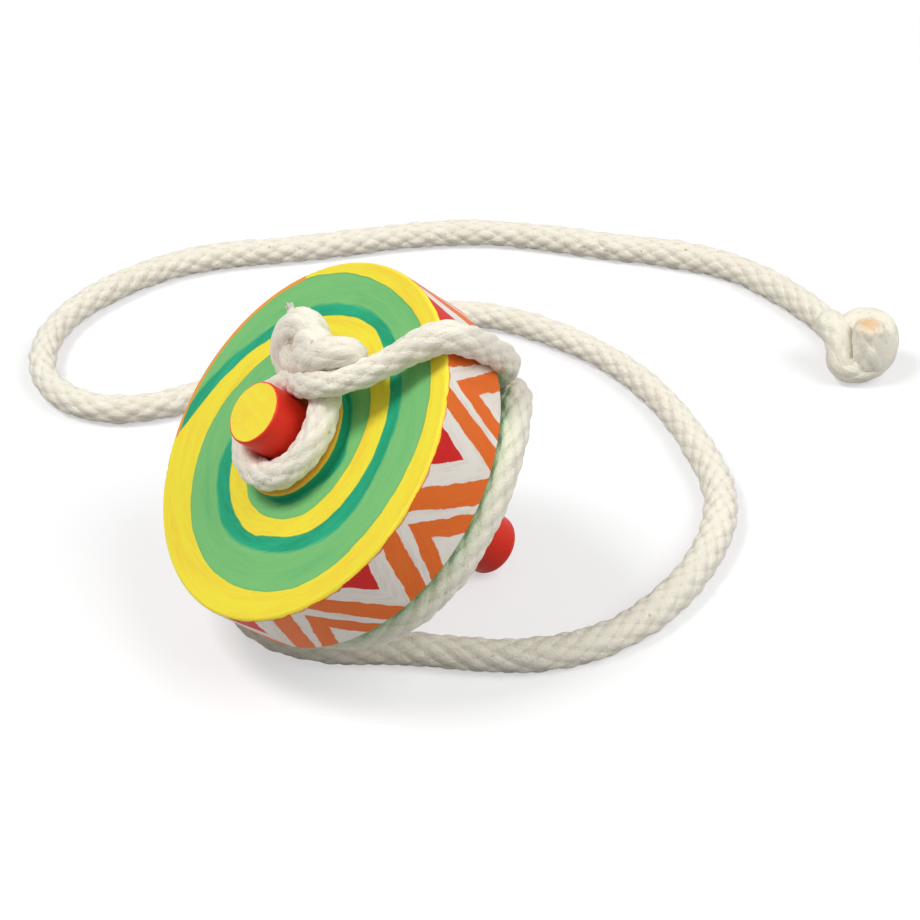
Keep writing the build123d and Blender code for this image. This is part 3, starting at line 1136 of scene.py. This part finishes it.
@dataclass(frozen=True)
class Strand:
    """One short bend of cord in a knot: its route, and its radius at three places along it."""

    route: tuple[Point, ...]
    start_radius: float
    middle_radius: float
    end_radius: float

    def radii(self, length: float) -> Callable[[np.ndarray], np.ndarray]:
        """The mean radius at distances along a strand of this length."""
        spread = (self.start_radius, self.middle_radius, self.end_radius)
        return lambda along: np.interp(along / length, (0.0, 0.5, 1.0), spread)

    def plaited(self, braid: Braid, place: Callable[[Point], Vector], name: str, salt: float,
                *dome: float) -> BraidedMesh:
        """Plaits the strand.

        Args:
            braid: how it is plaited.
            place: turns a point of its route into a place in the frame.
            name: a name for its curve while it is made.
            salt: sets its floats apart from other strands'.
            dome: how far its end bulges, if not as usual.

        Returns:
            The strand's mesh.
        """
        line = smooth_line([place(spot) for spot in self.route], name)
        return BraidedMesh(braid, line, salt).build(self.radii(line_length(line)), *dome)


@dataclass(frozen=True)
class NooseKnot:
    """The stopper knot beside the stem: a curl on the left, a lobe over it and one at the right."""

    braid: Braid = Braid(relief=0.0004)
    salt: float = 3.0
    strands: tuple[Strand, ...] = (
        Strand(((-0.0091, 0.0081, 0.0034), (-0.0108, 0.0098, 0.0056), (-0.0107, 0.0124, 0.0078),
                (-0.0096, 0.0153, 0.0088), (-0.0076, 0.0173, 0.0088), (-0.0062, 0.0170, 0.0080),
                (-0.0052, 0.0160, 0.0060)), 0.0028, 0.0030, 0.0029),
        Strand(((-0.0032, 0.0110, 0.0065), (-0.0003, 0.0134, 0.0094), (0.0041, 0.0160, 0.0108),
                (0.0068, 0.0185, 0.0106), (0.0077, 0.0198, 0.0092), (0.0068, 0.0195, 0.0068)),
               0.0030, 0.0032, 0.0024),
        Strand(((-0.0045, 0.0140, 0.0076), (-0.0028, 0.0158, 0.0092), (-0.0014, 0.0166, 0.0092),
                (-0.0011, 0.0160, 0.0076)), 0.0028, 0.0031, 0.0028),
        Strand(((-0.0102, 0.0144, 0.0066), (-0.0092, 0.0124, 0.0068), (-0.0083, 0.0106, 0.0064),
                (-0.0066, 0.0096, 0.0056)), 0.0024, 0.0024, 0.0024),
        Strand(((-0.0078, 0.0159, 0.0080), (-0.0102, 0.0164, 0.0088), (-0.0124, 0.0168, 0.0090)),
               0.0024, 0.0016, 0.0010),
    )
    tip: Point = (-0.0128, 0.0168, 0.0090)
    frayed_yarns: int = 16
    frayed_length: float = 0.0015
    frayed_radii: tuple[float, float, float] = (0.00050, 0.00038, 0.00014)
    frayed_way: Point = (-0.9, 0.35, 0.3)
    frayed_turn: float = 2.4    # from one yarn to the next, in radians
    spread_steps: int = 4       # different spreads, before they repeat
    least_spread: float = 0.25
    more_spread: float = 0.55
    frayed_loft: float = 0.35   # how much less painted shade the loose yarns' hollows get than the plaited cord's

    def _frayed(self) -> list[Strand]:
        """The loose yarns that stand out of the cord's cut end."""
        yarns = []
        for number in range(self.frayed_yarns):
            turn = number * self.frayed_turn
            step = number % self.spread_steps
            spread = self.least_spread + self.more_spread * step / (self.spread_steps - 1)
            reach = self.frayed_length * (0.55 + 0.45 * math.cos(number * 1.7) ** 2)
            back, aside, out = self.frayed_way
            aim = Vector((back, aside + spread * math.cos(turn), out + spread * math.sin(turn)))
            aim = aim.normalized() * reach
            start = Vector(self.tip) + Vector((0.0, aim.y, aim.z)) * 0.35
            bend = start + aim * 0.55 + Vector((0.0, aim.z, -aim.y)) * 0.12
            route = tuple(tuple(spot) for spot in (start - aim * 0.4, start, bend, start + aim))
            yarns.append(Strand(route, *self.frayed_radii))
        return yarns

    def build(self, axes: TopAxes, finish: bpy.types.Material) -> bpy.types.Object:
        """Makes the knot in place of its plain solid."""
        parts = []
        for number, strand in enumerate((*self.strands, *self._frayed())):
            surface = strand.plaited(self.braid, axes.place, f"noose_{number}", self.salt + number)
            if number >= len(self.strands):
                surface.loft = surface.loft + self.frayed_loft
            parts.append(surface)
        knot = shown_mesh("noose_knot_lobes", parts, axes, finish)
        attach(knot, "rope")
        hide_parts("noose_knot")
        return knot


@dataclass(frozen=True)
class EndKnot:
    """The stopper knot at the cord's far end: a ring of cord round its own cut end."""

    centre: Point = (0.1083, 0.0839, 0.0072)
    toward: Vector = Vector((0.0, -0.8215, 0.5700))
    up: Vector = Vector((0.0, 0.5700, 0.8215))
    braid: Braid = Braid(relief=0.00042)
    salt: float = 8.0
    ring: Strand = Strand(
        ((-0.0070, 0.0046, -0.0010), (-0.0051, 0.0018, 0.0010), (-0.0048, -0.0016, 0.0014),
         (-0.0048, -0.0042, 0.0012), (-0.0026, -0.0055, 0.0010), (0.0010, -0.0049, 0.0008),
         (0.0038, -0.0028, 0.0006), (0.0048, 0.0006, 0.0002), (0.0044, 0.0038, -0.0008),
         (0.0014, 0.0052, -0.0018), (-0.0022, 0.0044, -0.0020), (-0.0032, 0.0026, -0.0012)),
        0.0031, 0.0031, 0.0030,
    )
    plug: Strand = Strand(
        ((0.0009, -0.0036, 0.0010), (0.0009, -0.0016, 0.0028), (0.0008, 0.0012, 0.0042),
         (0.0008, 0.0033, 0.0056)), 0.0036, 0.0037, 0.0034,
    )
    ring_dome: float = 0.8      # how far the ring's end bulges
    cut_dome: float = 0.4       # and the cut end
    # how much the painted shade in the cut end's hollows is lessened
    lighter_hollows: float = 0.12
    singed_place: Point = (0.0006, 0.0043, 0.0064)

    def _place(self, spot: Point) -> Vector:
        """A spot given as (right, up, toward) from the knot's centre."""
        right = Vector((1.0, 0.0, 0.0))
        return Vector(self.centre) + right * spot[0] + self.up * spot[1] + self.toward * spot[2]

    def build(self, axes: TopAxes, groups: EffectGroups) -> bpy.types.Object:
        """Makes the knot in place of its plain solid."""
        finish = CottonFinish(
            name="cotton_cut_end", singed_centre=self._place(self.singed_place), lighter_hollows=self.lighter_hollows
        )
        parts = []
        ends = ((self.ring, self.ring_dome), (self.plug, self.cut_dome))
        for number, (strand, dome) in enumerate(ends):
            salt = self.salt + number
            parts.append(strand.plaited(self.braid, self._place, f"end_{number}", salt, dome))
        knot = shown_mesh("end_knot_turns", parts, axes, finish.material(groups))
        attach(knot, "rope")
        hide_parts("end_knot")
        return knot


@dataclass(frozen=True)
class WoundCord:
    """The cord itself, one length from knot to knot."""

    route: CordRoute = CordRoute()
    braid: Braid = Braid()
    diameter: float = 0.006
    radii: tuple[tuple[float, float], ...] = (
        (0.0, 0.0028), (0.045, 0.0027), (0.055, 0.0024), (0.062, 0.0023), (0.070, 0.0024),
        (0.082, 0.0025), (0.087, 0.0028), (0.092, 0.0029), (0.10, 0.0027), (0.135, 0.0026),
        (0.16, 0.0029), (0.62, 0.0030), (0.66, 0.0031), (0.70, 0.00325), (0.725, 0.0033),
        (0.745, 0.0030), (0.78, 0.00275), (0.90, 0.0029), (0.95, 0.0028), (0.98, 0.0029),
        (1.05, 0.0028), (1.09, 0.0031), (2.0, 0.0031),
    )

    def build(self, axes: TopAxes, finish: bpy.types.Material,
              knots: Sequence[bpy.types.Object]) -> bpy.types.Object:
        """Args:
            axes: how the top lies.
            finish: the cord's material.
            knots: the knots tied in it; not used.

        Returns:
            The cord.
        """
        line = smooth_line(self.route.points(axes), "cord_line")
        surface = BraidedMesh(self.braid, line)
        surface.build(lambda along: np.interp(along, *zip(*self.radii)))
        cord = shown_mesh("cord", [surface], axes, finish)
        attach(cord, "rope")
        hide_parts("cord_head", "cord_coil", "cord_tail")
        spaced_line(line, 0.001)
        return cord


# ---- the room -------------------------------------------------------------------------------------
def seen_by_eye(graph: Graph) -> Wire:
    """1 on what the camera sees, straight or in a shiny or clear surface, and 0 elsewhere."""
    path = graph.node("LightPath")
    seen = graph.wire(path, "Is Camera Ray").most(graph.wire(path, "Is Glossy Ray"))
    return seen.most(graph.wire(path, "Is Transmission Ray"))


@dataclass(frozen=True)
class Studio:
    """A pale floor, a soft lamp at the upper left, a weaker one at the right and the camera."""

    floor_size: float = 3.0
    floor_glow: float = 0.52
    floor_fade: tuple[float, float] = (0.28, 0.9)
    key_way: Point = (-0.471, -0.110, 0.875)
    key_power: float = 8.6
    key_size: float = 0.36
    fill_way: Point = (0.60, -0.20, 0.77)
    fill_power: float = 8.3
    fill_size: float = 0.8
    lamp_distance: float = 1.2
    sky: float = 0.24
    camera_place: Point = (0.02249, -0.4130, 0.3219)
    camera_tilt: float = 55.243
    camera_lens: float = 107.77

    def _lamp(self, name: str, way: Point, power: float, size: float) -> None:
        """A square lamp that shines at the top from one side."""
        light = bpy.data.lights.new(name, "AREA")
        light.energy = power
        light.size = size
        lamp = bpy.data.objects.new(name, light)
        lamp.location = Vector(way).normalized() * self.lamp_distance
        lamp.rotation_mode = "QUATERNION"
        lamp.rotation_quaternion = Vector(way).to_track_quat("Z", "Y")
        bpy.context.scene.collection.objects.link(lamp)

    def _floor(self) -> None:
        """The plain pale floor, white to the camera where no shadow falls."""
        half = self.floor_size / 2
        mesh = bpy.data.meshes.new("floor")
        corners = [(-half, -half, 0.0), (half, -half, 0.0), (half, half, 0.0), (-half, half, 0.0)]
        mesh.from_pydata(corners, [], [(0, 1, 2, 3)])
        material, graph, shader = new_material("floor_paper")
        shader.inputs["Base Color"].default_value = Paint.FLOOR.linear
        shader.inputs["Roughness"].default_value = 0.9
        spot = graph.node("SeparateXYZ", Vector=graph.wire(graph.node("TexCoord"), "Object"))
        x, y = graph.wire(spot, 0), graph.wire(spot, 1)
        outward = (x * x + y * y).math("SQRT").ramp(*self.floor_fade)
        glow = outward * (1.0 - self.floor_glow) + self.floor_glow
        graph.feed(shader.inputs["Emission Strength"], seen_by_eye(graph) * glow)
        mesh.materials.append(material)
        floor = bpy.data.objects.new("floor", mesh)
        bpy.context.scene.collection.objects.link(floor)

    def _sky(self) -> None:
        """Even light from all round, and white where the camera sees past the floor."""
        scene = bpy.context.scene
        world = bpy.data.worlds.new("studio")
        world.use_nodes = True
        scene.world = world
        graph = Graph(world.node_tree)
        background = world.node_tree.nodes["Background"]
        strength = seen_by_eye(graph) * (1.0 - self.sky) + self.sky
        graph.feed(background.inputs["Strength"], strength)
        background.inputs["Color"].default_value = (1.0, 1.0, 1.0, 1.0)
        scene.view_settings.view_transform = "Standard"

    def _camera(self) -> None:
        """The camera, looking down at the top from the front."""
        data = bpy.data.cameras.new("camera")
        data.lens = self.camera_lens
        data.sensor_width = 36.0
        data.clip_start = 0.01
        camera = bpy.data.objects.new("camera", data)
        camera.location = self.camera_place
        camera.rotation_euler = (math.radians(self.camera_tilt), 0.0, 0.0)
        bpy.context.scene.collection.objects.link(camera)
        bpy.context.scene.camera = camera

    def build(self) -> None:
        """Sets up the floor, the lights and the camera."""
        self._floor()
        self._sky()
        self._lamp("key_lamp", self.key_way, self.key_power, self.key_size)
        self._lamp("fill_lamp", self.fill_way, self.fill_power, self.fill_size)
        self._camera()


def dress(node: str, finish: bpy.types.Material) -> None:
    """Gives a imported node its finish."""
    piece = frame["nodes"][node]
    piece.data.materials.clear()
    piece.data.materials.append(finish)
    log.info("%s: %s", node, finish.name)


def main() -> None:
    """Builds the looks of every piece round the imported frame."""
    logging.basicConfig(level=logging.INFO, format="%(message)s")
    joint = frame["record"]["behaviour"]["joints"][0]
    axes = TopAxes.from_joint(joint)
    groups = EffectGroups(axes)
    Studio().build()
    dress("disc", DiscPaint().material(groups))
    dress("spindle", SpindlePaint().material(groups))
    cotton = CottonFinish().material(groups)
    knots = [NooseKnot().build(axes, cotton), EndKnot().build(axes, groups)]
    WoundCord().build(axes, cotton, knots)


if __name__ == "__main__":
    main()
